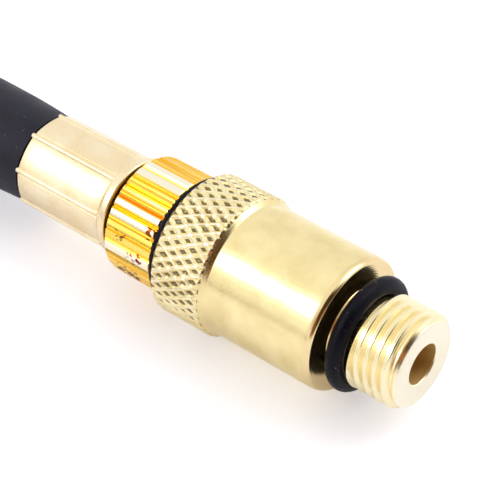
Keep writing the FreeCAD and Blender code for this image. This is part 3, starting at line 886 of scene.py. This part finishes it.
# Check valve, braid and liner. A standard small valve core: brass plug, barrel, pin and cup,
# dark red seals and a plain wire spring. Under the hose's cover lie a textile braid and a
# rubber liner. All these keep their CAD shape and only take their finish here.
core_brass = brass("core_turned_brass", (0.80, 0.62, 0.30), (0.66, 0.48, 0.20), 0.28, 0.05, 0.3)
spring_steel, nodes, links, surface = shader("spring_wire_steel")
surface.inputs["Metallic"].default_value = 1
surface.inputs["Base Color"].default_value = (0.55, 0.55, 0.56, 1)
drawn = fine_noise(nodes, links, 0.05)
links.new(spread(nodes, links, drawn, 0.2, 0.4), surface.inputs["Roughness"])
seal_red = black_rubber("seal_red_rubber", (0.14, 0.02, 0.015), (0.2, 0.06, 0.05), 0.5, 0.08, 0.3)
braid, nodes, links, surface = shader("braid_yarn")
weave = nodes.new("ShaderNodeTexBrick")
weave.inputs["Scale"].default_value = 900
where = nodes.new("ShaderNodeTexCoord")
links.new(where.outputs["Object"], weave.inputs["Vector"])
yarn = ramp(nodes, links, weave.outputs["Fac"], [(0, (0.55, 0.52, 0.45)), (1, (0.25, 0.23, 0.2))])
links.new(yarn, surface.inputs["Base Color"])
surface.inputs["Roughness"].default_value = 0.9
liner_black = black_rubber("liner_black_rubber", (0.02, 0.02, 0.02), (0.05, 0.05, 0.05), 0.4, 0.2, 0.3)
finishes = {
    "valve_core_plug": core_brass,
    "valve_core_barrel": core_brass,
    "valve_core_pin": core_brass,
    "valve_core_cup": core_brass,
    "valve_core_gasket": seal_red,
    "valve_core_cup_gasket": seal_red,
    "valve_core_spring": spring_steel,
    "hose_braid": braid,
    "hose_liner": liner_black,
}
for node, finish in finishes.items():
    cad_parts[node].data.materials.clear()
    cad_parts[node].data.materials.append(finish)

# Far end. A brass hose tail with a spanner hexagon, a rubber washer, and a nickelled steel
# quick-connect nipple with a locking groove, which the gauge's socket takes. Each is drawn
# at the front end's stations and moved to the far end of the hose.
HEX_FLATS = 13.0
TAIL_START = 34.3
TAIL_END = 42.57
NIPPLE_HEX_START = 27.3
NIPPLE_HEX_END = 33.3


def hexagon(bm, start, end):
    """Mills six flats on a turned blank, one of them downwards."""
    for v in bm.verts:
        s, r, angle = round_axis(v)
        if start - 1e-3 < s < end + 1e-3 and r > HEX_FLATS / 2 - 0.2:
            off = (angle + math.pi / 6) % (math.pi / 3) - math.pi / 6
            flat = HEX_FLATS / 2 / math.cos(math.pi / 6 - abs(off))
            set_radius(v, min(r, flat))


nickel, nodes, links, surface = shader("nickelled_steel")
surface.inputs["Metallic"].default_value = 1
clouds = fine_noise(nodes, links, 4.0, 4.0)
tone = ramp(nodes, links, clouds, [(0.3, (0.58, 0.57, 0.54)), (0.7, (0.70, 0.69, 0.66))])
links.new(tone, surface.inputs["Base Color"])
polish = fine_noise(nodes, links, 0.15)
links.new(spread(nodes, links, polish, 0.16, 0.3), surface.inputs["Roughness"])
lathe_lines = fine_noise(nodes, links, 0.1, 3.0, (6, 1, 1))
links.new(relief(nodes, links, lathe_lines, 0.01, 0.2), surface.inputs["Normal"])

tail_bm = bmesh.new()
wire(
    tail_bm,
    [
        (TAIL_START, 4.8),
        (TAIL_START, 6.3, 0.1),
        (34.7, 7.0),
        (35.0, 7.5),
        (41.8, 7.5),
        (42.1, 7.0),
        (TAIL_END, 6.3, 0.1),
        (TAIL_END, 3.9),
        (43.65, 3.9),
        (43.65, 4.3),
        (44.3, 4.3),
        (44.3, 3.2),
        (56.5, 3.2),
        (56.5, 1.6),
        (41.0, 1.6),
        (41.0, 4.8),
    ],
    closed=True,
)
spin(tail_bm, 180)
hexagon(tail_bm, TAIL_START, TAIL_END)
rear_tail = piece(
    tail_bm, "far_hose_tail", core_brass, "hose_end", ["rear_hose_tail"], 22, rear_shift
)

nipple_bm = bmesh.new()
wire(
    nipple_bm,
    [
        (6.8, 2.0, 0.1),
        (6.8, 3.8, 0.15),
        (7.6, 4.4, 0.2),
        (11.8, 4.4, 0.15),
        (12.5, 3.7, 0.3),
        (14.8, 3.7, 0.5),
        (16.2, 5.95, 0.4),
        (21.4, 5.95, 0.3),
        (22.2, 4.6, 0.4),
        (25.4, 4.6, 0.4),
        (26.0, 5.95, 0.2),
        (27.25, 5.95, 0.1),
        (NIPPLE_HEX_START, 6.3),
        (27.7, 7.0),
        (28.0, 7.5),
        (32.6, 7.5),
        (32.9, 7.0),
        (NIPPLE_HEX_END, 6.3),
        (NIPPLE_HEX_END, 4.75),
        (39.8, 4.75),
        (40.3, 4.25),
        (40.3, 2.0),
    ],
    closed=True,
)
spin(nipple_bm, 180)
hexagon(nipple_bm, NIPPLE_HEX_START, NIPPLE_HEX_END)
nipple = piece(
    nipple_bm, "quick_connect_nipple", nickel, "hose_end", ["quick_plug"], 22, rear_shift
)

washer_bm = bmesh.new()
wire(
    washer_bm,
    [(NIPPLE_HEX_END, 4.85), (NIPPLE_HEX_END, 6.3, 0.15), (TAIL_START, 6.3, 0.15), (TAIL_START, 4.85)],
    closed=True,
)
spin(washer_bm, 128)
washer = piece(
    washer_bm, "rubber_washer", ring_rubber, "hose_end", ["plug_washer"], 40, rear_shift
)
